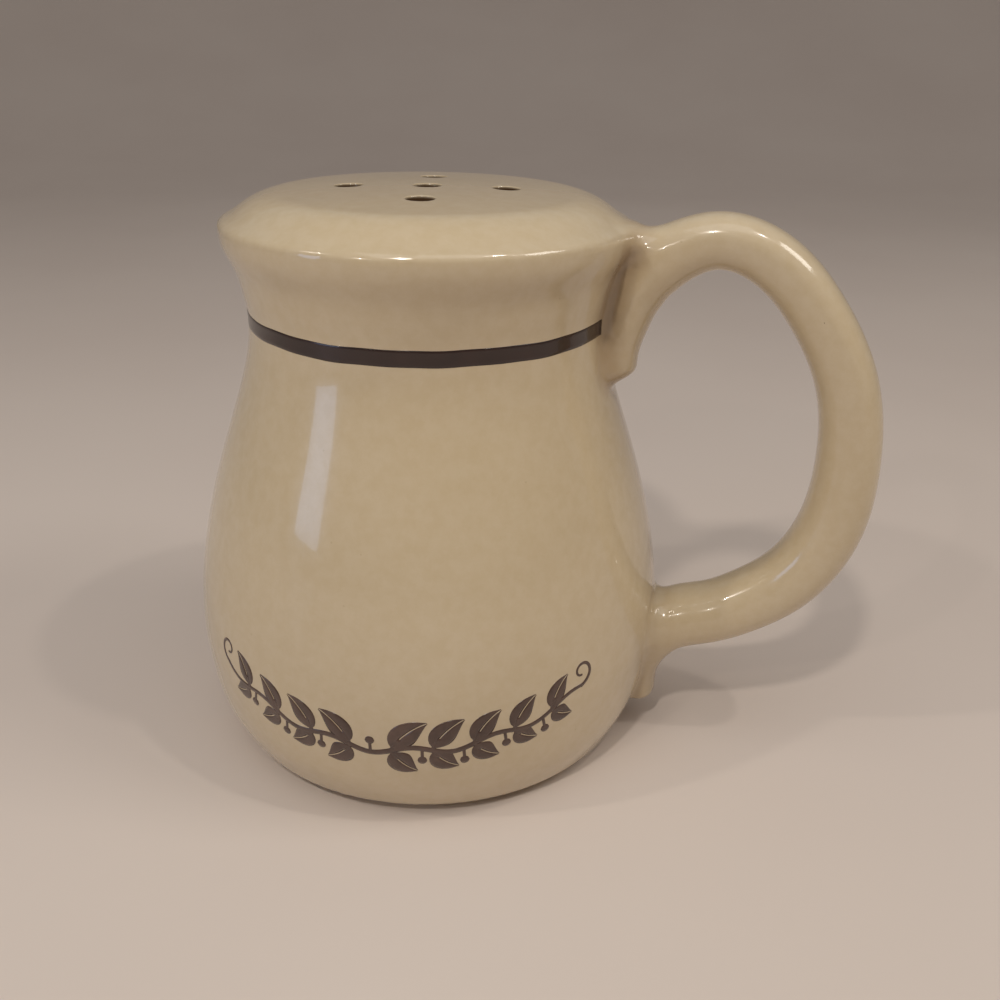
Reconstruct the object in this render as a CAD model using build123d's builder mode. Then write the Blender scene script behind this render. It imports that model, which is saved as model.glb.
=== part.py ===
from build123d import *
from math import atan2, cos, radians, sin
import os

# Parmesan shaker in glazed slip-cast earthenware, in millimetres.
# The origin is on the table, on the axis of the pot. The handle points along +X.

# Driving dimensions: the whole height, steps down from the crown to the rim and the neck,
# and steps up from the table to the foot's edge and the belly
overall_height = 120.0
dome_rise = 6.8
rim_rise = 18.2
belly_rise = 26.2
foot_height = 1.8
base_radius = 45.9
belly_radius = 51.9
neck_radius = 36.9
rim_radius = 41.4
wall = 4.0
floor_thickness = 4.5

# Foot ring and the hollow under the base
foot_inset = 3.9
foot_width = 4.5
recess_depth = 4.6
lower_edge_width = 1.4
lower_edge_rise = 0.9
foot_rounding = 0.6
cavity_corner = 6.0

# Sprinkle holes: one in the middle and a ring of four
hole_diameter = 5.6
hole_ring_radius = 15.8
hole_count = 4
hole_turn = 10.0
hole_rounding = 0.7

# Filling hole in the base, and its soft stopper
fill_diameter = 32.0
fill_rounding = 0.8
plug_clearance = 0.15
plug_length = 11.0
plug_taper = 0.6
plug_wall = 2.0
plug_lip_rounding = 0.6
rib_height = 0.45
rib_radius = 0.8
rib_count = 2
flange_overlap = 4.0
flange_thickness = 2.0
flange_rounding = 0.6
finger_dish_radius = 9.0
finger_dish_depth = 0.6
tab_width = 11.0
tab_length = 7.0
tab_rounding = 3.0
tab_relief = 0.4
ridge_radius = 0.4
ridge_pitch = 1.6
ridge_count = 3

# Brown band fired on the neck
band_width = 3.2
band_depth = 0.3
band_proud = 0.1
band_to_handle = 0.3

# Handle: a loop joined to the pot, its two ends pressed down along the wall
handle_reach = 41.7
grip_thickness = 13.4
grip_width = 15.4

# Extra length of every cut
overrun = 2.0

# Outline of the pot. Each pair is (share of the way across, share of the way up)
# between the two levels that the curve joins.
lower_side_shares = [(0.57, 0.29), (0.90, 0.68)]
shoulder_shares = [(0.16, 0.30), (0.41, 0.51), (0.75, 0.735)]
flare_shares = [(0.175, 0.275), (0.45, 0.55), (0.81, 0.82)]
dome_shares = [(0.03, 0.17), (0.12, 0.53)]
crown_edge_share = (0.28, 0.85)
lower_side_lean_share = 0.5
cavity_start_share = 0.70

# Handle sections, from the upper end to the lower one. The two roots stand on the pot's wall.
# Each of their rows holds the shares across and up between two corners of the outline, how far
# the centre line stands off that point, as a share of the grip's half thickness, and the
# shares of the grip's thickness and width there. The first and last rows are the tips.
shoulder_root_shares = [
    (0.089, 0.135, 0.06, 0.82, 0.70),
    (0.030, 0.078, 0.18, 0.88, 0.74),
]
flare_root_shares = [
    (0.000, 0.027, 0.35, 0.91, 0.77),
    (0.335, 0.445, 0.53, 1.09, 0.84),
]
lower_root_shares = [
    (0.93, 0.723, -0.07, 0.82, 0.92),
    (0.75, 0.462, -0.16, 0.70, 0.80),
    (0.50, 0.260, 0.02, 0.70, 0.74),
]
# Each row of the loop holds shares of the reach out from the pot's side, of the drop from rim
# to belly, of the grip's thickness and of its width
loop_shares = [
    (0.119, 0.068, 0.97, 0.88),
    (0.399, 0.013, 0.81, 0.88),
    (0.660, 0.054, 0.85, 0.92),
    (0.845, 0.158, 0.90, 0.96),
    (0.985, 0.309, 0.96, 1.00),
    (1.000, 0.542, 1.00, 1.00),
    (0.940, 0.668, 1.00, 1.00),
    (0.827, 0.779, 0.99, 1.00),
    (0.674, 0.865, 0.98, 1.00),
    (0.491, 0.927, 0.97, 1.00),
    (0.293, 0.973, 0.96, 1.00),
    (0.090, 1.008, 0.96, 1.00),
]
tip_angles = [35, 60, 80]
tip_length_share = 0.6


# Levels worked out from the steps
rim_height = overall_height - dome_rise
neck_height = rim_height - rim_rise
belly_height = foot_height + belly_rise
floor_height = recess_depth + floor_thickness
fill_radius = fill_diameter / 2
hole_radius = hole_diameter / 2
half_width = grip_width / 2
half_thickness = grip_thickness / 2
band_end = half_width * flare_root_shares[0][4] + band_to_handle
foot_radius = base_radius - foot_inset


def between(start, end, shares):
    """Points between two (radius, height) corners, from hand-chosen shares."""
    return [
        (start[0] + (end[0] - start[0]) * across, start[1] + (end[1] - start[1]) * rise)
        for across, rise in shares
    ]


half_turn = 180
up = (0, 1)
outward = (1, 0)

# Corners of the outer outline, as (radius, height)
edge_start = (base_radius - lower_edge_width, foot_height)
edge_end = (base_radius, foot_height + lower_edge_rise)
belly = (belly_radius, belly_height)
neck = (neck_radius, neck_height)
rim = (rim_radius, rim_height)
crown = (0, overall_height)
side_lean = (lower_side_lean_share, 1)

# The same corners on the cavity, one wall further in
lower_side_radius = base_radius + (belly_radius - base_radius) * cavity_start_share
cavity_foot = (lower_side_radius - wall, floor_height + cavity_corner)
cavity_floor_edge = (cavity_foot[0] - cavity_corner, floor_height)
cavity_belly = (belly_radius - wall, belly_height)
cavity_neck = (neck_radius - wall, neck_height)
cavity_rim = (rim_radius - wall, rim_height - wall / 2)
cavity_crown = (0, overall_height - wall)

# The profiles are drawn on a plane that passes midway between two sprinkle holes
profile_turn = hole_turn + half_turn / hole_count
profile_plane = Plane.XZ.rotated((0, 0, profile_turn))


def wall_curve(start, end, shares, start_lean, end_lean):
    """One stretch of the outline, smooth from corner to corner."""
    return Spline(start, *between(start, end, shares), end, tangents=[start_lean, end_lean])


def dome(rim_corner, top):
    """Rounding from the rim, then a shallow round arc over the crown, where the holes are."""
    (edge,) = between(rim_corner, top, [crown_edge_share])
    slope = 2 * atan2(top[1] - edge[1], edge[0])
    rounding = between(rim_corner, top, dome_shares)
    Spline(rim_corner, *rounding, edge, tangents=[up, (-cos(slope), sin(slope))])
    TangentArc(top, edge, tangent=outward)


# Solid envelope of the pot, used to trim what is seated on its skin
with BuildPart() as envelope:
    with BuildSketch(profile_plane):
        with BuildLine():
            Line((0, foot_height), edge_start)
            TangentArc(edge_start, edge_end, tangent=outward)
            wall_curve(edge_end, belly, lower_side_shares, side_lean, up)
            wall_curve(belly, neck, shoulder_shares, up, up)
            wall_curve(neck, rim, flare_shares, up, up)
            dome(rim, crown)
            Line(crown, (0, foot_height))
        make_face()
    revolve(axis=Axis.Z)

# Pot: one hollow casting, closed at the top and open only at its holes
with BuildPart() as shaker_body:
    add(envelope.part)
    # Foot ring with its edges rounded by the sponge
    with BuildSketch(Plane.XY):
        Circle(foot_radius)
    extrude(amount=foot_height)
    foot_edges = shaker_body.edges().filter_by(GeomType.CIRCLE).group_by(Axis.Z)[0]
    fillet(foot_edges, foot_rounding)
    # Hollow under the base, inside the foot ring
    with BuildSketch(Plane.XY):
        Circle(foot_radius - foot_width)
    extrude(amount=recess_depth, mode=Mode.SUBTRACT)
    ring_edges = shaker_body.edges().filter_by(GeomType.CIRCLE).group_by(Axis.Z)[0].sort_by(SortBy.RADIUS)[0]
    fillet(ring_edges, foot_rounding)
    # Cavity, one wall inside the outline
    with BuildSketch(profile_plane):
        with BuildLine():
            Line((0, floor_height), cavity_floor_edge)
            TangentArc(cavity_floor_edge, cavity_foot, tangent=outward)
            wall_curve(cavity_foot, cavity_belly, [], up, up)
            wall_curve(cavity_belly, cavity_neck, shoulder_shares, up, up)
            wall_curve(cavity_neck, cavity_rim, flare_shares, up, up)
            dome(cavity_rim, cavity_crown)
            Line(cavity_crown, (0, floor_height))
        make_face()
    revolve(axis=Axis.Z, mode=Mode.SUBTRACT)
    # Groove for the band
    with BuildSketch(Plane.XY.offset(neck_height - band_width / 2)):
        Circle(neck_radius + overrun)
        Circle(neck_radius - band_depth, mode=Mode.SUBTRACT)
        with Locations((neck_radius, 0)):
            Rectangle(neck_radius, 2 * band_end, mode=Mode.SUBTRACT)
    extrude(amount=band_width, mode=Mode.SUBTRACT)
    # Filling hole through the base, both of its edges rounded
    with BuildSketch(Plane.XY.offset(recess_depth - overrun)):
        Circle(fill_radius)
    extrude(amount=floor_thickness + 2 * overrun, mode=Mode.SUBTRACT)
    base_circles = shaker_body.edges().filter_by(GeomType.CIRCLE)
    base_circles = base_circles.filter_by_position(Axis.Z, recess_depth, floor_height)
    fillet(base_circles.sort_by(SortBy.RADIUS)[:2], fill_rounding)
    # Sprinkle holes through the crown, their mouths softened by the glaze
    hole_plane = Plane.XY.offset(rim_height - wall).rotated((0, 0, profile_turn))
    with BuildSketch(hole_plane):
        Circle(hole_radius)
        with PolarLocations(hole_ring_radius, hole_count, start_angle=half_turn / hole_count):
            Circle(hole_radius)
    extrude(amount=dome_rise + wall + overrun, mode=Mode.SUBTRACT)
    bores = shaker_body.faces(Select.LAST).filter_by(GeomType.CYLINDER)
    fillet([bore.edges().sort_by(Axis.Z)[-1] for bore in bores], hole_rounding)

# Handle: oval sections lofted along the loop, with rounded tips, trimmed to the pot's skin


def root_stations(start, end, rows):
    """Centres and half axes of sections that stand on the wall between two corners."""
    made = []
    for across, rise, off, thick, wide in rows:
        (radius, height), = between(start, end, [(across, rise)])
        centre = (radius + half_thickness * off, height)
        made.append((centre, half_thickness * thick, half_width * wide))
    return made


def loop_stations(rows):
    """The same along the loop, which hangs off a line from the rim to the belly."""
    made = []
    for out, down, thick, wide in rows:
        (side, height), = between(rim, belly, [(down, down)])
        centre = (side + handle_reach * out, height)
        made.append((centre, half_thickness * thick, half_width * wide))
    return made


stations = root_stations(neck, belly, shoulder_root_shares) + root_stations(neck, rim, flare_root_shares)
stations += loop_stations(loop_shares) + root_stations(edge_end, belly, lower_root_shares)

with BuildLine(Plane.XZ) as centre_line:
    spine = Spline([centre for centre, thickness, width in stations])


def oval(station, direction, angle=0):
    """Section plane and half axes; past an end, the oval shrinks as on a rounded tip."""
    (out, height), thickness, width = station
    tip_length = thickness * tip_length_share
    centre = Vector(out, 0, height) + direction * tip_length * sin(radians(angle))
    plane = Plane(origin=centre, x_dir=(0, 1, 0), z_dir=direction)
    return plane, width * cos(radians(angle)), thickness * cos(radians(angle))


directions = [spine.tangent_at(Vector(out, 0, height)) for (out, height), thickness, width in stations]
upper_rounding = [oval(stations[0], directions[0] * -1, angle) for angle in reversed(tip_angles)]
lower_rounding = [oval(stations[-1], directions[-1], angle) for angle in tip_angles]
sections = [oval(station, direction) for station, direction in zip(stations, directions)]

with BuildPart() as handle:
    for plane, width, thickness in upper_rounding + sections + lower_rounding:
        with BuildSketch(plane):
            Ellipse(width, thickness)
    loft()
    add(envelope.part, mode=Mode.SUBTRACT)

# Band: a brown ring laid in a shallow turned groove at the narrowest part of the neck,
# open where the handle is joined
with BuildPart() as neck_band:
    with BuildSketch(Plane.XY.offset(neck_height - band_width / 2)):
        Circle(neck_radius + band_proud)
        Circle(neck_radius - band_depth, mode=Mode.SUBTRACT)
        with Locations((neck_radius, 0)):
            Rectangle(neck_radius, 2 * band_end, mode=Mode.SUBTRACT)
    extrude(amount=band_width)

# Stopper: a soft moulded cup with a flange that seats under the base
flange_bottom = recess_depth - flange_thickness
flange_radius = fill_radius + flange_overlap
dish_top = flange_bottom + finger_dish_depth
bore_radius = fill_radius - plug_clearance
plug_radius = bore_radius - rib_height
plug_top = recess_depth + plug_length
with BuildPart() as stopper:
    with BuildSketch(Plane.XZ) as plug_section:
        with BuildLine():
            Polyline(
                (0, dish_top),
                (finger_dish_radius, dish_top),
                (finger_dish_radius + finger_dish_depth, flange_bottom),
                (flange_radius, flange_bottom),
                (flange_radius, recess_depth),
                (plug_radius, recess_depth),
                (plug_radius - plug_taper, plug_top),
                (plug_radius - plug_taper - plug_wall, plug_top),
                (plug_radius - plug_wall, recess_depth),
                (0, recess_depth),
                close=True,
            )
        make_face()
        fillet(plug_section.vertices().group_by(Axis.Y)[-1], plug_lip_rounding)
        fillet(plug_section.vertices().group_by(Axis.X)[-1].sort_by(Axis.Y)[0], flange_rounding)
    revolve(axis=Axis.Z)
    # Sealing ribs, spread over the thickness of the base
    for index in range(rib_count):
        rib_level = recess_depth + floor_thickness * (index + 1) / (rib_count + 1)
        with BuildSketch(Plane.XZ):
            with Locations((bore_radius - rib_radius, rib_level)):
                Circle(rib_radius)
        revolve(axis=Axis.Z)
    # Pull tab on the flange, on the side away from the handle
    with BuildSketch(Plane.XY.offset(flange_bottom)):
        with Locations((-flange_radius, 0)):
            RectangleRounded(2 * tab_length, tab_width, tab_rounding)
    extrude(amount=flange_thickness - tab_relief)
    # Ridges across the tab, for a fingernail
    with Locations((-flange_radius - tab_length / 2, 0, flange_bottom)):
        with GridLocations(ridge_pitch, tab_width, ridge_count, 1):
            Cylinder(ridge_radius, tab_width - 2 * tab_rounding, rotation=(90, 0, 0))

os.makedirs("parts", exist_ok=True)
shaker_body.part.label = "shaker_body"
export_step(shaker_body.part, "parts/shaker_body.step")
handle.part.label = "handle"
export_step(handle.part, "parts/handle.step")
neck_band.part.label = "neck_band"
export_step(neck_band.part, "parts/neck_band.step")
stopper.part.label = "stopper"
export_step(stopper.part, "parts/stopper.step")
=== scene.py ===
import math

import bmesh
import bpy
import numpy as np
from mathutils import Matrix, Vector


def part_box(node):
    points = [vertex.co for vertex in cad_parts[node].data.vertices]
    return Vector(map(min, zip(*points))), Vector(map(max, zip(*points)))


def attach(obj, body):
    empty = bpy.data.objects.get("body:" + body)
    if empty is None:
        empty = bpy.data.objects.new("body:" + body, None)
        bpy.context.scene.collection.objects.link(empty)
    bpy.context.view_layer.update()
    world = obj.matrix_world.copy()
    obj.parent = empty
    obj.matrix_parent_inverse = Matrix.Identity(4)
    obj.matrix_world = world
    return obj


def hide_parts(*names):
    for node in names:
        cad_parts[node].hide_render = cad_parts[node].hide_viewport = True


# Parmesan shaker in cream glaze. All lengths are in metres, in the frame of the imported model:
# +Z up from the table along the pot's axis, +X towards the handle.
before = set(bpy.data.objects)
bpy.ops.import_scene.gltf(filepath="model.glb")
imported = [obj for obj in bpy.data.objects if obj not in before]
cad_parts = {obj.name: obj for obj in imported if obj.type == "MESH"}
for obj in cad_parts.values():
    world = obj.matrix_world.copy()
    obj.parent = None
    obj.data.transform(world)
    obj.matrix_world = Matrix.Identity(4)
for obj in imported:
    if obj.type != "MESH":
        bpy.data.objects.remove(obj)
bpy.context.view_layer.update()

# Sizes read from the frame
pot_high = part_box("shaker_body")[1]
loop_low, loop_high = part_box("handle")
band_low, band_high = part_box("neck_band")
belly_radius = pot_high.x
crown_height = pot_high.z
neck_height = (band_low.z + band_high.z) / 2
band_width = band_high.z - band_low.z

# Steps and radii of the pot's outline
foot_height = 0.0018
belly_height = 0.0280
rim_drop = 0.0068
base_radius = 0.0459
neck_radius = 0.0369
rim_radius = 0.0414
wall = 0.0040
floor_thickness = 0.0045
foot_radius = 0.0420
foot_width = 0.0045
recess_depth = 0.0046
edge_width = 0.0014
edge_rise = 0.0009
foot_rounding = 0.0006
cavity_corner = 0.0060
rim_height = crown_height - rim_drop
floor_height = recess_depth + floor_thickness

# Sprinkle holes, one in the middle of a ring, with softened mouths, and the filling hole below
hole_radius = 0.0028
hole_ring_radius = 0.0158
hole_ring_count = 4
hole_turn = math.radians(10)
hole_reach = 3 * wall
hole_softness = 0.0002
# How deep into a sprinkle hole its painted shade, with the thinner glaze there, reaches full strength
hole_shade_depth = 0.0005
fill_radius = 0.0160
fill_rounding = 0.0008

# Handle: its section, how far it reaches out, and how long its blunt tips are. A squareness of 2
# is an oval. The section is widest off its middle by a share of its half thickness, and a share
# below zero is towards the outside of the loop.
grip_thickness = 0.0134
grip_width = 0.0154
handle_reach = 0.0417
tip_length_share = 0.6
squareness = 2.3
widest_share = -0.12

# How softly the handle runs into the pot, as (height, softness): tight at the lower tip and along
# the upper edge of the lower root, tighter again beside the upper root's hollow, and fullest
# under the crown
softness_rows = [
    (0.014, 0.0012), (0.019, 0.0022), (0.025, 0.0050), (0.031, 0.0050), (0.037, 0.0016), (0.060, 0.0016),
    (0.080, 0.0046), (0.090, 0.0042), (0.100, 0.0032), (0.109, 0.0034), (0.113, 0.0070), (0.117, 0.0080),
]

# A hollow pressed in along the upper root: how far off the wall its ridge stands, and the share
# of the handle's width that is lost at the wall, as (height, share)
ridge_reach = 0.0060
hollow_rows = [(0.086, 0.0), (0.093, 0.46), (0.107, 0.46), (0.1115, 0.0)]

# Outline between its corners: (share of the way across, share of the way up)
lower_side_shares = [(0.57, 0.29), (0.90, 0.68)]
shoulder_shares = [(0.16, 0.30), (0.41, 0.51), (0.75, 0.735)]
flare_shares = [(0.165, 0.275), (0.45, 0.55), (0.94, 0.83)]
dome_shares = [(0.03, 0.17), (0.12, 0.53)]
crown_edge_share = (0.28, 0.85)
cavity_start_share = 0.70

# The handle's two roots stand on the pot's wall. Each row holds the shares across and up between
# two corners of the outline, how far the centre line stands off that point, as a share of the
# grip's half thickness, and the shares of the grip's thickness and width there.
shoulder_root_shares = [(0.089, 0.135, 0.06, 0.82, 0.70), (0.030, 0.078, 0.18, 0.88, 0.74)]
flare_root_shares = [(0.000, 0.027, 0.42, 0.95, 0.80), (0.335, 0.445, 0.56, 1.11, 0.88)]
lower_root_shares = [
    (0.93, 0.723, -0.07, 0.82, 0.92),
    (0.75, 0.462, -0.16, 0.70, 0.80),
    (0.50, 0.260, 0.02, 0.70, 0.74),
]

# Each row of the loop holds shares of the reach out from the pot's side, of the drop from rim
# to belly, and of the grip's thickness and width
loop_shares = [
    (0.119, 0.068, 0.97, 0.88),
    (0.399, 0.013, 0.81, 0.88),
    (0.657, 0.056, 0.83, 0.92),
    (0.839, 0.161, 0.86, 0.96),
    (0.975, 0.310, 0.90, 1.00),
    (0.993, 0.542, 0.96, 1.00),
    (0.938, 0.668, 0.99, 1.00),
    (0.827, 0.779, 0.99, 1.00),
    (0.674, 0.865, 0.98, 1.00),
    (0.491, 0.927, 0.97, 1.00),
    (0.293, 0.973, 0.96, 1.00),
    (0.090, 1.008, 0.96, 1.00),
]

# Corners of the pot's outline, as (radius, height)
edge_start = (base_radius - edge_width, foot_height)
edge_end = (base_radius, foot_height + edge_rise)
belly = (belly_radius, belly_height)
neck = (neck_radius, neck_height)
rim = (rim_radius, rim_height)
crown = (0, crown_height)

# Glaze that has run together in the corner between handle and pot, darkened further there as painted
# shade:
# how far it shows, and how strongly, as (height, strength)
pool_and_shade_reach = 0.0055
pool_and_shade_rows = [(0.050, 0.35), (0.090, 1.0)]

# Mesh: its cells, how many of them make a coarse one, how many coarse cells from the surface are
# looked at closely, how near the holes and the roots it is cut finer, and how its points are evened
cell = 0.0010
block = 4
near_surface = 1.6
fine_round_holes = [3 * cell, cell]
fine_round_roots = 4 * cell
relax_rounds = 3
relax_share = 0.5

# Flat tables of distances: their steps, and how far they reach past what they describe
table_step = 0.00025
loop_table_step = 2 * table_step
table_margin = 0.006

# Least values that keep a division away from zero
least_length2 = 1e-18
least_oval = 0.05
least_slope2 = 0.2


def smooth_curve(points, start_lean=None, end_lean=None, steps=24):
    """Dense points on a cubic spline through a few chosen ones, leaning as asked at its ends.
    Only the first two columns are places; the others are values that go along."""
    points = np.array(points, float)
    chord = np.linalg.norm(np.diff(points[:, :2], axis=0), axis=1)
    count = len(points)
    system = np.zeros((count, count))
    right = np.zeros((count, points.shape[1]))
    for i in range(1, count - 1):
        before, after = chord[i - 1], chord[i]
        system[i, i - 1] = after
        system[i, i] = 2 * (before + after)
        system[i, i + 1] = before
        slope_before = (points[i] - points[i - 1]) / before
        slope_after = (points[i + 1] - points[i]) / after
        right[i] = 3 * (after * slope_before + before * slope_after)
    for row, near, lean, gap in ((0, 1, start_lean, chord[0]), (-1, -2, end_lean, chord[-1])):
        system[row, row] = 1
        if lean is None:
            system[row, row] = 2
            system[row, near] = 1
            ends = points[1] - points[0] if row == 0 else points[-1] - points[-2]
            right[row] = 3 * ends / gap
        else:
            right[row, :2] = np.array(lean, float) / np.linalg.norm(lean)
    slopes = np.linalg.solve(system, right)
    dense = []
    for i in range(count - 1):
        for t in np.arange(steps) / steps:
            lead = points[i] * (1 + 2 * t) * (1 - t) ** 2 + points[i + 1] * t * t * (3 - 2 * t)
            bend = slopes[i] * t * (1 - t) ** 2 - slopes[i + 1] * t * t * (1 - t)
            dense.append(lead + bend * chord[i])
    dense.append(points[-1])
    return np.array(dense)


def between(start, end, shares):
    """Points between two (radius, height) corners, from given shares."""
    return [
        (start[0] + (end[0] - start[0]) * across, start[1] + (end[1] - start[1]) * rise)
        for across, rise in shares
    ]


def stretch(start, end, shares, start_lean, end_lean):
    return smooth_curve([start, *between(start, end, shares), end], start_lean, end_lean)


def quarter_arc(centre, radius, start_angle, end_angle, steps=8):
    angles = np.radians(np.linspace(start_angle, end_angle, steps))
    return np.stack([centre[0] + radius * np.cos(angles), centre[1] + radius * np.sin(angles)], axis=1)


def dome(side, top):
    """Rounding from the rim, then a shallow round arc over the crown."""
    (edge,) = between(side, top, [crown_edge_share])
    slope = 2 * math.atan2(top[1] - edge[1], edge[0])
    rounding = [side, *between(side, top, dome_shares), edge]
    radius = edge[0] / math.sin(slope)
    return np.vstack([
        smooth_curve(rounding, (0, 1), (-math.cos(slope), math.sin(slope))),
        quarter_arc((0, top[1] - radius), radius, 90 - math.degrees(slope), 90, steps=24),
    ])


def outer_section():
    """Closed section of the pot's outside, from the axis under the base up to the crown."""
    inner = foot_radius - foot_width
    return np.vstack([
        [(0, recess_depth), (inner, recess_depth)],
        quarter_arc((inner + foot_rounding, foot_rounding), foot_rounding, 180, 270),
        quarter_arc((foot_radius - foot_rounding, foot_rounding), foot_rounding, 270, 360),
        [(foot_radius, foot_height), edge_start],
        stretch(edge_end, belly, lower_side_shares, (0.5, 1), (0, 1)),
        stretch(belly, neck, shoulder_shares, (0, 1), (0, 1)),
        stretch(neck, rim, flare_shares, (0, 1), (0, 1)),
        dome(rim, crown),
    ])


def inner_section():
    """Closed section of the hollow, with the filling hole below it."""
    start = base_radius + (belly_radius - base_radius) * cavity_start_share - wall
    foot = (start, floor_height + cavity_corner)
    inner_belly = (belly_radius - wall, belly_height)
    inner_neck = (neck_radius - wall, neck_height)
    inner_rim = (rim_radius - wall, rim_height - wall / 2)
    lip = fill_radius + fill_rounding
    return np.vstack([
        [(0, 0), (lip, 0)],
        quarter_arc((lip, recess_depth + fill_rounding), fill_rounding, 270, 180),
        quarter_arc((lip, floor_height - fill_rounding), fill_rounding, 180, 90),
        quarter_arc((start - cavity_corner, foot[1]), cavity_corner, 270, 360),
        stretch(foot, inner_belly, [], (0, 1), (0, 1)),
        stretch(inner_belly, inner_neck, shoulder_shares, (0, 1), (0, 1)),
        stretch(inner_neck, inner_rim, flare_shares, (0, 1), (0, 1)),
        dome(inner_rim, (0, crown_height - wall)),
    ])


def nearest_on(line, points, slab=4000):
    """For each point, the nearest place on a line of short segments: (segment, share along it)."""
    start, step = line[:-1], np.diff(line, axis=0)
    length2 = np.maximum((step ** 2).sum(1), least_length2)
    segment = np.zeros(len(points), int)
    along = np.zeros(len(points))
    for first in range(0, len(points), slab):
        part = points[first:first + slab, None, :] - start[None]
        share = np.clip((part * step).sum(2) / length2, 0, 1)
        away2 = ((part - share[..., None] * step) ** 2).sum(2)
        best = away2.argmin(1)
        rows = np.arange(len(best))
        segment[first:first + slab] = best
        along[first:first + slab] = share[rows, best]
    return segment, along


class Table:
    """Values on a flat grid, read between its points."""

    def __init__(self, low, high, step, values_at):
        self.low, self.step = np.array(low, float), step
        count = np.ceil((np.array(high) - self.low) / step).astype(int) + 1
        # Places are read just short of the last grid line, so that a next one is always there
        self.last = count - 1.001
        ticks = [self.low[i] + step * np.arange(count[i]) for i in (0, 1)]
        across, up = np.meshgrid(*ticks, indexing="ij")
        found = values_at(np.stack([across.ravel(), up.ravel()], axis=1))
        self.values = found.reshape(*count, -1)

    def read(self, across, up):
        x = np.clip((across - self.low[0]) / self.step, 0, self.last[0])
        y = np.clip((up - self.low[1]) / self.step, 0, self.last[1])
        i, j = x.astype(int), y.astype(int)
        x, y = (x - i)[:, None], (y - j)[:, None]
        below = self.values[i, j] * (1 - x) + self.values[i + 1, j] * x
        above = self.values[i, j + 1] * (1 - x) + self.values[i + 1, j + 1] * x
        return below * (1 - y) + above * y


def signed_distance(section):
    """Distance to a closed section drawn counter-clockwise from the axis; negative inside it."""
    def values(points):
        segment, along = nearest_on(section, points)
        start, step = section[segment], np.diff(section, axis=0)[segment]
        away = np.linalg.norm(points - start - along[:, None] * step, axis=1)
        inside = np.zeros(len(points), bool)
        ring = np.vstack([section, section[:1]])
        for (x0, y0), (x1, y1) in zip(ring[:-1], ring[1:]):
            if y0 != y1:
                spanned = (y0 > points[:, 1]) != (y1 > points[:, 1])
                inside ^= spanned & (points[:, 0] < x0 + (points[:, 1] - y0) * (x1 - x0) / (y1 - y0))
        return np.where(inside, -away, away)
    return values


def root_stations(start, end, rows):
    """Centres and half axes of the handle's sections that stand on the wall between two corners."""
    made = []
    for across, rise, off, thick, wide in rows:
        (radius, height), = between(start, end, [(across, rise)])
        out = radius + grip_thickness / 2 * off
        made.append((out, height, grip_thickness / 2 * thick, grip_width / 2 * wide))
    return made


def loop_stations():
    """The same along the loop, which hangs off a line from the rim to the belly."""
    made = []
    for out, down, thick, wide in loop_shares:
        (side, height), = between(rim, belly, [(down, down)])
        out = side + handle_reach * out
        made.append((out, height, grip_thickness / 2 * thick, grip_width / 2 * wide))
    return made


def handle_line():
    """Centre line of the handle with its half thickness and half width."""
    rows = [
        *root_stations(neck, belly, shoulder_root_shares),
        *root_stations(neck, rim, flare_root_shares),
        *loop_stations(),
        *root_stations(edge_end, belly, lower_root_shares),
    ]
    return smooth_curve(rows, steps=40)


def handle_values(points):
    """In the handle's plane: offset across the line, past its ends, half thickness, half width."""
    line = handle_line()
    segment, along = nearest_on(line[:, :2], points)
    here = line[segment] + along[:, None] * np.diff(line, axis=0)[segment]
    step = np.diff(line[:, :2], axis=0)[segment]
    step = step / np.linalg.norm(step, axis=1)[:, None]
    away = points - here[:, :2]
    across = away[:, 0] * step[:, 1] - away[:, 1] * step[:, 0]
    past = (away * step).sum(1)
    return np.column_stack([across, past, here[:, 2:]])


def soft_min(a, b, softness):
    """The lesser of two distances, with the corner between them filled softly."""
    near = np.maximum(softness - np.abs(a - b), 0) / softness
    return np.minimum(a, b) - near * near * softness / 4


def at_heights(rows, heights):
    """Values between rows of (height, value)."""
    return np.interp(heights, *zip(*rows))


table_low = (0, -table_margin)
table_high = (belly_radius + table_margin, crown_height + table_margin)
outer_table = Table(table_low, table_high, table_step, signed_distance(outer_section()))
inner_table = Table(table_low, table_high, table_step, signed_distance(inner_section()))
loop_table_low = (loop_low.x - table_margin, loop_low.z - table_margin)
loop_table_high = (loop_high.x + table_margin, loop_high.z + table_margin)
loop_table = Table(loop_table_low, loop_table_high, loop_table_step, handle_values)


def loop_distance(p, off_wall):
    """Roughly the distance to the handle, true where it is zero. The section is widest nearer to
    its outer side, and narrowed at the wall where the upper root has its hollow."""
    across, past, thick, wide = loop_table.read(p[:, 0], p[:, 2]).T
    hollow = at_heights(hollow_rows, p[:, 2])
    wide = wide * (1 - hollow * np.clip(1 - off_wall / ridge_reach, 0, 1))
    beyond = across - widest_share * thick
    beyond = beyond / np.where(beyond > 0, 1 - widest_share, 1 + widest_share)
    flat2 = beyond ** 2 + (past / tip_length_share) ** 2
    power = squareness / 2
    oval = ((flat2 / thick ** 2) ** power + ((p[:, 1] / wide) ** 2) ** power) ** (0.5 / power)
    away = np.sqrt(flat2 + p[:, 1] ** 2)
    return away * (1 - 1 / np.maximum(oval, least_oval))


def holes_distance(p):
    """Distance to the nearest sprinkle hole's axis, less its radius."""
    centres = [(0, 0)]
    for i in range(hole_ring_count):
        turn = hole_turn + i * 2 * math.pi / hole_ring_count
        centres.append((hole_ring_radius * math.cos(turn), hole_ring_radius * math.sin(turn)))
    nearest = np.min([np.hypot(p[:, 0] - x, p[:, 1] - y) for x, y in centres], axis=0)
    return np.maximum(nearest - hole_radius, crown_height - hole_reach - p[:, 2])


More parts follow.
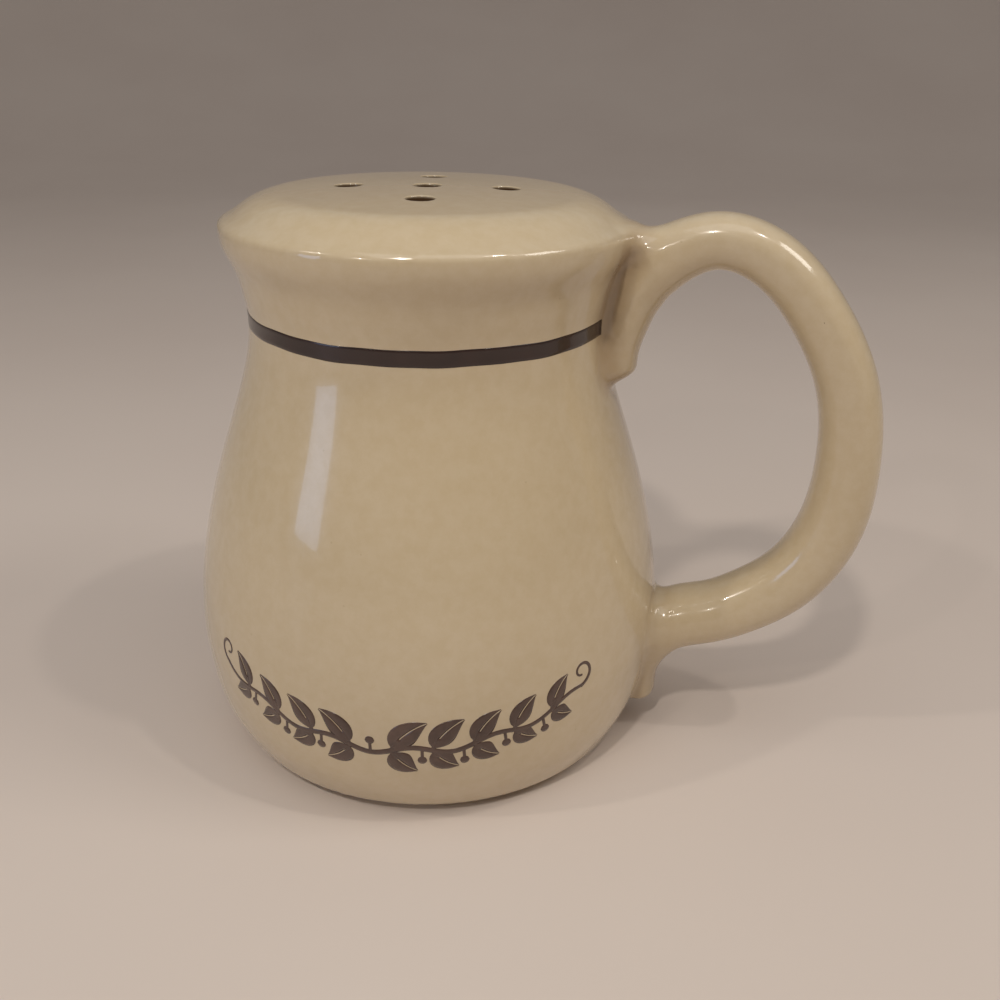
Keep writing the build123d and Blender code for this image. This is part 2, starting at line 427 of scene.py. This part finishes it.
def pot_field(p):
    """The fired clay: pot and handle run together, less the hollow and the holes. Distances are
    below zero inside the clay."""
    radius = np.hypot(p[:, 0], p[:, 1])
    outside = outer_table.read(radius, p[:, 2])[:, 0]
    softness = at_heights(softness_rows, p[:, 2])
    solid = soft_min(outside, loop_distance(p, outside), softness)
    shell = np.maximum(solid, -inner_table.read(radius, p[:, 2])[:, 0])
    return -soft_min(-shell, holes_distance(p), hole_softness)


def surface_net(field, low, high):
    """Vertices and quads of the surface where the field is zero, on a regular grid of cells."""
    # The field is read on coarse cells first, and near the surface again on fine ones
    coarse = cell * block
    count = np.ceil((np.array(high) - np.array(low)) / coarse).astype(int) + 1
    low = np.array(low) - coarse / 2
    ticks = [low[i] + coarse * (np.arange(count[i]) + 0.5) for i in range(3)]
    middle = np.stack(np.meshgrid(*ticks, indexing="ij"), axis=-1).reshape(-1, 3)
    rough = field(middle).reshape(count)
    near = np.abs(rough) < coarse * near_surface
    values = rough
    for axis in range(3):
        near = np.repeat(near, block, axis)
        values = np.repeat(values, block, axis)
    index = np.argwhere(near)
    values[near] = field(low + cell * (index + 0.5))
    inside = values < 0
    shape = np.array(values.shape)
    stride = np.array([shape[1] * shape[2], shape[2], 1])
    # Each grid line that crosses the surface gives a quad between the four cells round it
    corners, crossings, quads = [], [], []
    for axis in range(3):
        first = [slice(None)] * 3
        second = [slice(None)] * 3
        first[axis], second[axis] = slice(0, -1), slice(1, None)
        edge = np.argwhere(inside[tuple(first)] != inside[tuple(second)])
        after = edge.copy()
        after[:, axis] += 1
        v0, v1 = values[tuple(edge.T)], values[tuple(after.T)]
        place = low + cell * (edge + 0.5)
        place[:, axis] += cell * v0 / (v0 - v1)
        side, other = (axis + 1) % 3, (axis + 2) % 3
        home = (edge * stride).sum(1)
        ring = [home - stride[side] - stride[other], home - stride[other], home, home - stride[side]]
        ring = np.stack(ring, axis=1)
        ring[v0 > 0] = ring[v0 > 0][:, ::-1]
        quads.append(ring)
        corners.append(ring.ravel())
        crossings.append(np.repeat(place, 4, axis=0))
    # Each cell's vertex lies in the middle of its crossings
    compact = np.unique(np.concatenate(corners), return_inverse=True)[1]
    crossings = np.vstack(crossings)
    total = np.bincount(compact)
    vertices = np.stack([np.bincount(compact, crossings[:, i]) / total for i in range(3)], axis=1)
    return vertices, compact.reshape(-1, 4)


def settle(field, points, rounds=3, level=0):
    """Moves points onto the surface where the field has this level."""
    reach = cell / 20
    for _ in range(rounds):
        value = field(points) - level
        slope = np.stack([
            (field(points + reach * axis) - field(points - reach * axis)) / (2 * reach)
            for axis in np.eye(3)
        ], axis=1)
        step = value / np.maximum((slope ** 2).sum(1), least_slope2)
        step = np.clip(step, -cell, cell)
        points = points - slope * step[:, None]
    return points


def relax(points, edges, share):
    """Each point moves part of the way to the middle of its neighbours."""
    total = np.bincount(edges.ravel(), minlength=len(points))
    moved = np.zeros_like(points)
    for i in range(3):
        moved[:, i] += np.bincount(edges[:, 0], points[edges[:, 1], i], minlength=len(points))
        moved[:, i] += np.bincount(edges[:, 1], points[edges[:, 0], i], minlength=len(points))
    return points + share * (moved / total[:, None] - points)


def coordinates(mesh):
    flat = np.zeros(len(mesh.vertices) * 3)
    mesh.vertices.foreach_get("co", flat)
    return flat.reshape(-1, 3)


def edge_pairs(mesh):
    flat = np.zeros(len(mesh.edges) * 2, int)
    mesh.edges.foreach_get("vertices", flat)
    return flat.reshape(-1, 2)


def refine(mesh, wanted):
    """Halves the faces round the chosen points."""
    work = bmesh.new()
    work.from_mesh(mesh)
    keep = wanted(coordinates(mesh))
    work.verts.ensure_lookup_table()
    edges = [e for e in work.edges if keep[e.verts[0].index] and keep[e.verts[1].index]]
    bmesh.ops.subdivide_edges(work, edges=edges, cuts=1, use_grid_fill=True)
    bmesh.ops.triangulate(work, faces=[f for f in work.faces if len(f.verts) > 4])
    work.to_mesh(mesh)
    work.free()


def add_object(name, mesh, body, material):
    thing = bpy.data.objects.new(name, mesh)
    bpy.context.scene.collection.objects.link(thing)
    mesh.materials.append(material)
    mesh.shade_smooth()
    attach(thing, body)
    return thing


def root_gap(p):
    """How far a point of the surface lies from the line where handle and pot meet, roughly."""
    off_wall = outer_table.read(np.hypot(p[:, 0], p[:, 1]), p[:, 2])[:, 0]
    return np.abs(off_wall) + np.abs(loop_distance(p, off_wall))


def glazed_pot(material):
    """Pot and handle as one glazed body, the way they come out of the kiln."""
    low = (-belly_radius - cell, -belly_radius - cell, -cell)
    high = (loop_high.x + cell, belly_radius + cell, crown_height + cell)
    vertices, quads = surface_net(pot_field, low, high)
    mesh = bpy.data.meshes.new("glazed_pot")
    mesh.from_pydata(settle(pot_field, vertices).tolist(), [], quads.tolist())
    crown_base = rim_height - wall
    for reach in fine_round_holes:
        refine(mesh, lambda p: (np.abs(holes_distance(p)) < reach) & (p[:, 2] > crown_base))
    refine(mesh, lambda p: p[:, 2] < foot_height)
    refine(mesh, lambda p: (root_gap(p) < fine_round_roots) & (p[:, 0] > 0))
    points, edges = coordinates(mesh), edge_pairs(mesh)
    for _ in range(relax_rounds):
        points = settle(pot_field, relax(points, edges, relax_share), rounds=2)
    mesh.vertices.foreach_set("co", points.ravel())
    mesh.update()
    radius = np.hypot(points[:, 0], points[:, 1])
    depth = -outer_table.read(radius, points[:, 2])[:, 0]
    # Painted shade inside the sprinkle holes, together with their thinner glaze, growing with depth below
    # the surface
    in_hole = (holes_distance(points) < hole_softness) & (points[:, 2] > crown_base)
    # Closeness to where handle and pot meet: marks pooled glaze and painted shade in that corner
    pooled_and_shaded = np.clip(1 - root_gap(points) / pool_and_shade_reach, 0, 1)
    marks = {
        "glaze_pool_and_shade": pooled_and_shaded * at_heights(pool_and_shade_rows, points[:, 2]),
        "painted_hole_shade": np.where(in_hole, np.clip(depth / hole_shade_depth, 0, 1), 0),
    }
    for name, values in marks.items():
        mesh.attributes.new(name, "FLOAT", "POINT").data.foreach_set("value", values)
    pot = add_object("glazed_pot", mesh, "shaker", material)
    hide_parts("shaker_body", "handle")
    return pot


def outline_at(heights):
    """Radius of the pot's outside at these heights, below the rim."""
    section = outer_section()
    wall_rows = section[(section[:, 0] > neck_radius - cell) & (section[:, 1] < rim_height)]
    wall_rows = wall_rows[np.argsort(wall_rows[:, 1])]
    return np.interp(heights, wall_rows[:, 1], wall_rows[:, 0])


def on_pot(azimuth, height):
    """Points on the pot's bare wall."""
    radius = outline_at(height)
    return np.stack([radius * np.cos(azimuth), radius * np.sin(azimuth), height], axis=-1)


class Slabs:
    """Thin closed shells laid on the pot's wall, gathered into one mesh."""

    def __init__(self):
        self.vertices, self.faces = [], []

    def add(self, azimuth, height, lift, sink):
        """One shell over a grid of places; lift is its height above the glaze at each place."""
        rows, columns = azimuth.shape
        wall_points = on_pot(azimuth, height).reshape(-1, 3)
        top = settle(pot_field, wall_points, level=lift.ravel())
        under = settle(pot_field, wall_points, level=-sink)
        first = len(self.vertices)
        self.vertices += [*top.tolist(), *under.tolist()]
        count = rows * columns

        def at(i, j, below=False):
            return first + i * columns + j + (count if below else 0)

        for i in range(rows - 1):
            for j in range(columns - 1):
                ring = [(i, j), (i + 1, j), (i + 1, j + 1), (i, j + 1)]
                self.faces.append([at(*corner) for corner in ring])
                self.faces.append([at(*corner, True) for corner in reversed(ring)])
            for j, flip in ((0, False), (columns - 1, True)):
                side = [at(i, j), at(i, j, True), at(i + 1, j, True), at(i + 1, j)]
                self.faces.append(side[::-1] if flip else side)
        for j in range(columns - 1):
            for i, flip in ((0, True), (rows - 1, False)):
                side = [at(i, j), at(i, j, True), at(i, j + 1, True), at(i, j + 1)]
                self.faces.append(side[::-1] if flip else side)

    def make(self, name, material):
        mesh = bpy.data.meshes.new(name)
        mesh.from_pydata(self.vertices, [], self.faces)
        work = bmesh.new()
        work.from_mesh(mesh)
        bmesh.ops.recalc_face_normals(work, faces=work.faces)
        work.to_mesh(mesh)
        work.free()
        return add_object(name, mesh, "shaker", material)


# Brown decoration, laid on by hand and fired into the glaze: how far it stands above the glaze
# and reaches into it
paint_lift = 0.00010
paint_sink = 0.00035

# Band: how far it runs in under the handle's root, its section as (share of the half width, share
# of the lift), and its waver as (turns round the neck, turn at the start, share)
band_overlap = 0.0010
band_steps = 361
band_section_shares = [(-1, 0.1), (-0.94, 0.75), (-0.6, 1), (0, 1), (0.6, 1), (0.94, 0.75), (1, 0.1)]
band_waver = 0.00006
band_waves = [(5, 1, 1), (11, 0, 1), (23, 2, 0.6)]


def painted_band(material):
    """Band at the neck, open where the handle is joined, with the slight waver of a brush."""
    ends = [abs(v.co.y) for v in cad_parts["neck_band"].data.vertices if v.co.x > 0]
    open_angle = math.asin((min(ends) - band_overlap) / neck_radius)
    around = np.linspace(open_angle, 2 * math.pi - open_angle, band_steps)
    across, rise = np.array(band_section_shares).T
    waver = band_waver * sum(share * np.sin(turns * around + start) for turns, start, share in band_waves)
    azimuth = np.repeat(around[:, None], len(across), axis=1)
    height = neck_height + waver[:, None] + across[None] * band_width / 2
    lift = np.repeat(rise[None] * paint_lift, len(around), axis=0)
    slabs = Slabs()
    slabs.add(azimuth, height, lift, paint_sink)
    band = slabs.make("painted_band", material)
    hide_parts("neck_band")
    return band


# Leaf sprig on the belly: it stands on an arc that hangs like a garland below the middle
sprig_azimuth = math.radians(-84.5)
sprig_half_length = 0.0405
sprig_low = 0.0205
sprig_rise = 0.0085

# Stem: its width, the share that it keeps at its ends, and its wave from leaf to leaf
stem_width = 0.0013
stem_end_share = 0.65
stem_wave = 0.0009
stem_steps = 181

# Brush strokes: places across one, and how much and how steeply its sides drop
stroke_places = 5
stroke_drop_share = 0.7
stroke_drop_power = 4

# Leaves stand in pairs, a large one above the stem and a small one below it, and they are smaller
# towards the ends of the stem. A leaf's outline is a half wave: the first power moves its fullest
# place towards the root, and the second makes it rounder.
leaf_pitch = 0.0082
leaf_length = 0.0104
leaf_width = 0.0027
leaf_angle = math.radians(52)
leaf_curl = 0.7
leaf_straight_share = 0.3
leaf_full_power = 0.75
leaf_round_power = 0.9
leaf_steps = 15
lower_leaf_share = 0.72
end_leaf_loss_share = 0.22
leaf_lift_share = 0.9
vein_width = 0.00022
least_half_leaf = 0.6 * vein_width

# Stalks: their half width as a share of the stem's width, and how many steps of a leaf its stalk
# runs in
stalk_share = 0.36
stalk_lift_share = 0.8
stalk_leaf_steps = 4
stalk_steps = 6

# Berries hang between the leaves, and one stands up left of the middle: how far along and how far
# out, in leaf pitches and in radii
berry_radius = 0.00095
berry_place_share = 0.76
berry_out_share = 3.2
berry_stalk_share = 0.25
berry_stalk_steps = 5
berry_lift_share = 1.1
berry_steps = 13
berry_end_share = 0.999

# Tendril at each end: its length, how far it turns in radians, and how it tightens and thins
tendril_length = 0.0165
tendril_turn = 6.2
tendril_turn_power = 1.3
tendril_tighter_share = 0.55
tendril_thinner_share = 0.3
tendril_steps = 60
tendril_overlap_steps = 3


def sprig_stem(along):
    """Height of the stem at a place along the arc."""
    share = along / sprig_half_length
    return sprig_low + sprig_rise * share ** 2 + stem_wave * np.sin(math.pi * along / leaf_pitch)


def on_stem(along):
    """A place on the stem, as (along, height)."""
    return np.array((along, float(sprig_stem(np.array(along)))))


def ribbon(slabs, centre, half_width, height_share=1.0, edge=None):
    """A brush stroke along a line of (along, height) places. An edge of 1 or -1 keeps it to that
    side of the line, clear of the vein."""
    step = np.gradient(centre, axis=0)
    step /= np.linalg.norm(step, axis=1)[:, None]
    normal = np.stack([-step[:, 1], step[:, 0]], axis=1)
    across = np.linspace(0, 1, stroke_places)
    start, stop = -half_width, half_width
    if edge:
        start = np.full_like(half_width, edge * vein_width / 2)
        stop = edge * np.maximum(half_width, least_half_leaf)
    offset = start[:, None] + (stop - start)[:, None] * across
    place = centre[:, None, :] + normal[:, None, :] * offset[..., None]
    rise = 1 - stroke_drop_share * np.abs(2 * across - 1) ** stroke_drop_power
    lift = np.repeat(paint_lift * height_share * rise[None], len(centre), axis=0)
    slabs.add(sprig_azimuth + place[..., 0] / belly_radius, place[..., 1], lift, paint_sink)


def leaf(slabs, root, angle, length, width, curl):
    """Pointed leaf in two halves, with a bare vein between them."""
    t = np.linspace(0, 1, leaf_steps)
    turn = angle + curl * (t - leaf_straight_share)
    steps = np.stack([np.cos(turn), np.sin(turn)], axis=1) * length / len(t)
    centre = root + np.cumsum(steps, axis=0)
    half = width * np.sin(math.pi * t ** leaf_full_power) ** leaf_round_power
    for edge in (1, -1):
        ribbon(slabs, centre, half, leaf_lift_share, edge)
    stalk = np.linspace(root, centre[stalk_leaf_steps], stalk_steps)
    ribbon(slabs, stalk, np.full(len(stalk), stem_width * stalk_share), stalk_lift_share)


def berry(slabs, place, lean, side):
    """Round berry on a short stalk."""
    root = on_stem(place)
    out = np.array((-math.sin(lean), math.cos(lean))) * side
    centre = root + out * berry_out_share * berry_radius
    stalk = np.linspace(root, centre, berry_stalk_steps)
    ribbon(slabs, stalk, np.full(len(stalk), stem_width * berry_stalk_share), stalk_lift_share)
    t = np.linspace(-berry_end_share, berry_end_share, berry_steps)
    line = centre + np.outer(t, (math.cos(lean), math.sin(lean))) * berry_radius
    ribbon(slabs, line, berry_radius * np.sqrt(1 - t ** 2), berry_lift_share)


def tendril(slabs, end):
    """Tendril that rolls up past the last leaf."""
    t = np.linspace(0, 1, tendril_steps)
    turn = math.atan(2 * end * sprig_rise / sprig_half_length) + (0 if end > 0 else math.pi)
    turn = turn + end * tendril_turn * t ** tendril_turn_power
    step = tendril_length / len(t) * (1 - tendril_tighter_share * t)
    path = np.cumsum(np.stack([np.cos(turn), np.sin(turn)], axis=1) * step[:, None], axis=0)
    # It starts a little inside the stem, so that the two strokes join
    start = on_stem(end * sprig_half_length) - tendril_overlap_steps * path[0]
    ribbon(slabs, start + path, stem_width / 2 * (stem_end_share - tendril_thinner_share * t))


def leaf_pair(slabs, place, forward, lean, size):
    """A leaf above the stem and a smaller one below it."""
    heading = lean if forward > 0 else lean + math.pi
    for side, share in ((1, 1.0), (-1, lower_leaf_share)):
        turn = heading + forward * side * leaf_angle
        long = leaf_length * size * share
        leaf(slabs, on_stem(place), turn, long, leaf_width * size, -forward * side * leaf_curl)


def leaf_sprig(material):
    """Wavy stem with paired leaves and berries, ending in a tendril at each end."""
    slabs = Slabs()
    along = np.linspace(-sprig_half_length, sprig_half_length, stem_steps)
    fuller = np.cos(along / sprig_half_length * math.pi / 2)
    thick = stem_width / 2 * (stem_end_share + (1 - stem_end_share) * fuller)
    ribbon(slabs, np.stack([along, sprig_stem(along)], axis=1), thick)
    count = int(sprig_half_length / leaf_pitch)
    for i in range(-count, count + 1):
        place = i * leaf_pitch
        lean = math.atan(2 * sprig_rise * place / sprig_half_length ** 2)
        forward = 1 if i >= 0 else -1
        leaf_pair(slabs, place, forward, lean, 1 - end_leaf_loss_share * abs(i) / count)
        if abs(i) < count:
            berry(slabs, place + forward * leaf_pitch * berry_place_share, lean, -1)
    berry(slabs, -leaf_pitch / 2, 0, 1)
    for end in (-1, 1):
        tendril(slabs, end)
    return slabs.make("leaf_sprig", material)


def new_material(name):
    material = bpy.data.materials.new(name)
    material.use_nodes = True
    tree = material.node_tree
    return material, tree, tree.nodes["Principled BSDF"]


def plug(tree, value, socket):
    """Links another node's output to a socket, or sets the socket to a plain value."""
    if isinstance(value, bpy.types.NodeSocket):
        tree.links.new(value, socket)
    else:
        socket.default_value = value


def add_node(tree, kind, properties=None, **values):
    """A shader node with its properties, and the values of its named sockets."""
    made = tree.nodes.new(kind)
    for key, value in (properties or {}).items():
        setattr(made, key, value)
    for key, value in values.items():
        plug(tree, value, made.inputs[key.replace("_", " ")])
    return made


def place_on(tree):
    """The place on the object, in metres."""
    return add_node(tree, "ShaderNodeTexCoord").outputs["Object"]


def noise(tree, scale, detail, roughness=0.5):
    """Soft noise, with about this many lumps to the metre."""
    values = {"Scale": scale, "Detail": detail, "Roughness": roughness}
    return add_node(tree, "ShaderNodeTexNoise", Vector=place_on(tree), **values).outputs["Fac"]


def mark(tree, name):
    """A value that is kept with the mesh."""
    return add_node(tree, "ShaderNodeAttribute", {"attribute_name": name}).outputs["Fac"]


def maths(tree, operation, *values):
    made = add_node(tree, "ShaderNodeMath", {"operation": operation})
    for value, socket in zip(values, made.inputs):
        plug(tree, value, socket)
    return made.outputs[0]


def spread(tree, factor, low, high):
    """A factor from 0 to 1, spread from low to high."""
    return add_node(tree, "ShaderNodeMapRange", Value=factor, To_Min=low, To_Max=high).outputs[0]


def bump(tree, height, strength, distance, **values):
    values |= {"Height": height, "Strength": strength, "Distance": distance}
    return add_node(tree, "ShaderNodeBump", **values).outputs[0]


def colour(red, green, blue):
    """A colour given as it looks on screen, from 0 to 255."""
    shares = [value / 255 for value in (red, green, blue)]
    return (*[s / 12.92 if s <= 0.04045 else ((s + 0.055) / 1.055) ** 2.4 for s in shares], 1)


def ramp(tree, factor, low, low_colour, high, high_colour):
    """One colour up to the low factor, another from the high one on, and blends between."""
    made = add_node(tree, "ShaderNodeValToRGB", Fac=factor)
    stops = ((low, low_colour), (high, high_colour))
    for element, (place, tone) in zip(made.color_ramp.elements, stops):
        element.position = place
        element.color = colour(*tone)
    return made.outputs["Color"]


def mix(tree, factor, first, second, blend="MIX"):
    made = add_node(tree, "ShaderNodeMix", {"data_type": "RGBA", "blend_type": blend})
    for value, socket in ((factor, 0), (first, 6), (second, 7)):
        plug(tree, value, made.inputs[socket])
    return made.outputs[2]


# Colours, as they look on screen
white = (255, 255, 255)
cream_dark, cream_light = (203, 186, 156), (207, 191, 163)
cream_grain = (250, 248, 243)
clay_dark, clay_light = (196, 178, 148), (216, 201, 174)
# Brown of pooled glaze, darkened as painted shade for the corner between handle and pot
pool_and_shade_brown = (134, 102, 70)
# Painted shade inside the sprinkle holes, with their thinner glaze
hole_shade_brown = (84, 62, 44)
speck_brown = (140, 112, 78)
band_dark, band_light = (38, 21, 17), (54, 33, 27)
sprig_dark, sprig_light = (70, 50, 43), (98, 75, 65)
brush_grain = (226, 222, 220)
rubber_dark, rubber_light = (214, 210, 200), (228, 225, 216)
floor_dark, floor_light = (211, 199, 191), (216, 205, 197)
air_grey = (235, 230, 226)
warm_light = (255, 246, 234)
soft_warm_light = (255, 248, 238)
window_light = (176, 208, 255)

# Cream glaze: how strongly the pooled glaze with its painted shade and the specks show, how much of each
# speck's cell is dark, and the height and raggedness of the bare foot's edge
pool_and_shade_strength = 0.8
speck_strength = 0.18
speck_share = 0.03
bare_height = 0.0004
bare_ragged = 0.0008
bare_roughness = 0.6


def cream_glaze():
    """Clear cream glaze over buff clay: faint cloudiness, brown where it pools with painted shade in the
    corner between handle and pot, painted shade inside the sprinkle holes, a few specks, and bare clay on
    the foot ring."""
    material, tree, shader = new_material("cream_glaze")
    clouds = noise(tree, 22.0, 3.0, 0.45)
    mottle = noise(tree, 380.0, 4.0, 0.6)
    body = ramp(tree, clouds, 0.30, cream_dark, 0.72, cream_light)
    body = mix(tree, 1.0, body, ramp(tree, mottle, 0.35, cream_grain, 0.65, white), "MULTIPLY")
    # Painted shade: darkens the corner between handle and pot, on top of the glaze that pools there
    pooled_and_shaded = maths(tree, "MULTIPLY", mark(tree, "glaze_pool_and_shade"), pool_and_shade_strength)
    body = mix(tree, pooled_and_shaded, body, colour(*pool_and_shade_brown))
    # Painted shade inside the sprinkle holes, with their thinner glaze
    body = mix(tree, mark(tree, "painted_hole_shade"), body, colour(*hole_shade_brown))
    cells = add_node(tree, "ShaderNodeTexVoronoi", Vector=place_on(tree), Scale=130.0, Randomness=1.0)
    specks = maths(tree, "LESS_THAN", cells.outputs["Distance"], speck_share)
    body = mix(tree, maths(tree, "MULTIPLY", specks, speck_strength), body, colour(*speck_brown))
    height = add_node(tree, "ShaderNodeSeparateXYZ", Vector=place_on(tree)).outputs["Z"]
    edge = maths(tree, "MULTIPLY_ADD", noise(tree, 90.0, 2.0), bare_ragged, bare_height)
    bare = maths(tree, "LESS_THAN", height, edge)
    clay = ramp(tree, mottle, 0.3, clay_dark, 0.7, clay_light)
    plug(tree, mix(tree, bare, body, clay), shader.inputs["Base Color"])
    rough = maths(tree, "MULTIPLY_ADD", bare, bare_roughness, spread(tree, clouds, 0.13, 0.21))
    plug(tree, rough, shader.inputs["Roughness"])
    waves = bump(tree, noise(tree, 55.0, 1.5, 0.4), strength=0.35, distance=0.0006)
    fine = bump(tree, mottle, strength=0.12, distance=0.00008, Normal=waves)
    plug(tree, fine, shader.inputs["Normal"])
    shader.inputs["IOR"].default_value = 1.5
    shader.inputs["Coat Weight"].default_value = 0.55
    shader.inputs["Coat Roughness"].default_value = 0.035
    return material


def brown_glaze(name, dark, light):
    """Brown oxide fired into the glaze: uneven where the brush ran thin."""
    material, tree, shader = new_material(name)
    brush = noise(tree, 260.0, 5.0, 0.62)
    tone = ramp(tree, brush, 0.3, dark, 0.75, light)
    shade = ramp(tree, noise(tree, 60.0, 2.0), 0.3, brush_grain, 0.7, white)
    plug(tree, mix(tree, 1.0, tone, shade, "MULTIPLY"), shader.inputs["Base Color"])
    plug(tree, spread(tree, brush, 0.16, 0.30), shader.inputs["Roughness"])
    plug(tree, bump(tree, brush, strength=0.15, distance=0.0001), shader.inputs["Normal"])
    shader.inputs["Coat Weight"].default_value = 0.4
    shader.inputs["Coat Roughness"].default_value = 0.04
    return material


def stopper_rubber():
    """Soft off-white moulding with a fine matte grain."""
    material, tree, shader = new_material("stopper_rubber")
    grain = noise(tree, 2400.0, 2.0)
    tone = ramp(tree, noise(tree, 70.0, 3.0), 0.3, rubber_dark, 0.7, rubber_light)
    plug(tree, tone, shader.inputs["Base Color"])
    plug(tree, spread(tree, grain, 0.48, 0.66), shader.inputs["Roughness"])
    plug(tree, bump(tree, grain, strength=0.25, distance=0.00005), shader.inputs["Normal"])
    shader.inputs["Sheen Weight"].default_value = 0.15
    shader.inputs["Subsurface Weight"].default_value = 0.1
    shader.inputs["Subsurface Scale"].default_value = 0.002
    return material


def floor_material():
    """Plain pale matte paint, with the faintest cloudiness."""
    material, tree, shader = new_material("table_top")
    tone = ramp(tree, noise(tree, 5.0, 3.0), 0.3, floor_dark, 0.7, floor_light)
    plug(tree, tone, shader.inputs["Base Color"])
    shader.inputs["Roughness"].default_value = 0.55
    return material


# Floor: the rings of a flat disc, and the arc in which its edge rises
floor_rings = [0.1, 0.25, 0.5, 0.9]
floor_rise = 0.9
floor_rise_angles = np.radians(np.linspace(6, 88, 14))
floor_turns = 96


def table_top():
    """Plain pale floor that rises softly far behind the object on every side."""
    profile = [(radius, 0.0) for radius in floor_rings]
    for angle in floor_rise_angles:
        out = floor_rings[-1] + floor_rise * math.sin(angle)
        profile.append((out, floor_rise * (1 - math.cos(angle))))
    vertices = [(0.0, 0.0, 0.0)]
    for radius, height in profile:
        for turn in np.arange(floor_turns) * 2 * math.pi / floor_turns:
            vertices.append((radius * math.cos(turn), radius * math.sin(turn), height))
    faces = [(0, 1 + i, 1 + (i + 1) % floor_turns) for i in range(floor_turns)]
    for row in range(len(profile) - 1):
        first = 1 + row * floor_turns
        second = first + floor_turns
        for i in range(floor_turns):
            after = (i + 1) % floor_turns
            faces.append((first + i, second + i, second + after, first + after))
    mesh = bpy.data.meshes.new("table_top")
    mesh.from_pydata(vertices, [], faces)
    mesh.shade_smooth()
    mesh.materials.append(floor_material())
    floor = bpy.data.objects.new("table_top", mesh)
    bpy.context.scene.collection.objects.link(floor)


# Lamps: where they all point
lit_place = Vector((0.01, 0, 0.06))


def lamp(name, azimuth, elevation, distance, size, power, tone=white):
    """Lamp that faces the object's middle: a round one, or a softbox where size has width and
    height. Azimuth 0 is on the camera's side, 90 to its right."""
    light = bpy.data.lights.new(name, "AREA")
    if isinstance(size, tuple):
        light.shape = "RECTANGLE"
        light.size, light.size_y = size
    else:
        light.shape = "DISK"
        light.size = size
    light.energy = power
    light.color = colour(*tone)[:3]
    thing = bpy.data.objects.new(name, light)
    bpy.context.scene.collection.objects.link(thing)
    turn, lift = math.radians(azimuth) + camera_azimuth, math.radians(elevation)
    away = Vector((math.cos(turn) * math.cos(lift), math.sin(turn) * math.cos(lift), math.sin(lift)))
    thing.location = lit_place + away * distance
    thing.rotation_mode = "QUATERNION"
    thing.rotation_quaternion = (-away).to_track_quat("-Z", "Y")


def soft_light():
    """Soft light from above and the right, small lamps for the glints, a window on the left."""
    lamp("overhead", azimuth=0, elevation=75, distance=0.85, size=(0.70, 0.55), power=1.00)
    lamp(
        "right_soft", azimuth=74, elevation=45, distance=0.90, size=(0.30, 0.26), power=1.60,
        tone=soft_warm_light,
    )
    small = {"distance": 0.80, "tone": warm_light}
    lamp("left_key", azimuth=-20, elevation=50, size=0.050, power=1.50, **small)
    lamp("left_small", azimuth=-71, elevation=43, size=0.036, power=0.65, **small)
    lamp("front_small", azimuth=-38, elevation=33, size=0.024, power=0.30, **small)
    lamp("right_small", azimuth=57, elevation=62, size=0.036, power=0.55, **small)
    lamp(
        "left_window", azimuth=-63, elevation=9, distance=0.70, size=(0.17, 0.20), power=0.27,
        tone=window_light,
    )
    world = bpy.data.worlds.new("studio_air")
    world.use_nodes = True
    air = world.node_tree.nodes["Background"]
    air.inputs["Color"].default_value = colour(*air_grey)
    air.inputs["Strength"].default_value = 0.28
    bpy.context.scene.world = world


# Camera at the photograph's viewing angle, with its lens and sensor in millimetres
camera_place = Vector((0.05539, -0.20671, 0.14828))
camera_heading = math.radians(100.81)
camera_pitch = math.radians(-24.46)
camera_roll = math.radians(1.05)
camera_lens = 37.14
camera_sensor = 36
camera_azimuth = math.atan2(camera_place.y, camera_place.x)


def photo_camera():
    data = bpy.data.cameras.new("camera")
    data.lens, data.sensor_width = camera_lens, camera_sensor
    data.clip_start, data.clip_end = 0.01, 10
    camera = bpy.data.objects.new("camera", data)
    bpy.context.scene.collection.objects.link(camera)
    flat = math.cos(camera_pitch)
    forward = Vector((
        math.cos(camera_heading) * flat,
        math.sin(camera_heading) * flat,
        math.sin(camera_pitch),
    ))
    right = forward.cross(Vector((0, 0, 1))).normalized()
    up = right.cross(forward)
    rolled_right = right * math.cos(camera_roll) + up * math.sin(camera_roll)
    rolled_up = up * math.cos(camera_roll) - right * math.sin(camera_roll)
    turn = Matrix((rolled_right, rolled_up, -forward)).transposed().to_4x4()
    camera.matrix_world = Matrix.Translation(camera_place) @ turn
    bpy.context.scene.camera = camera


glazed_pot(cream_glaze())
painted_band(brown_glaze("band_brown", band_dark, band_light))
leaf_sprig(brown_glaze("sprig_brown", sprig_dark, sprig_light))
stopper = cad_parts["stopper"]
stopper.data.materials.clear()
stopper.data.materials.append(stopper_rubber())
table_top()
soft_light()
photo_camera()
bpy.context.scene.view_settings.view_transform = "Standard"
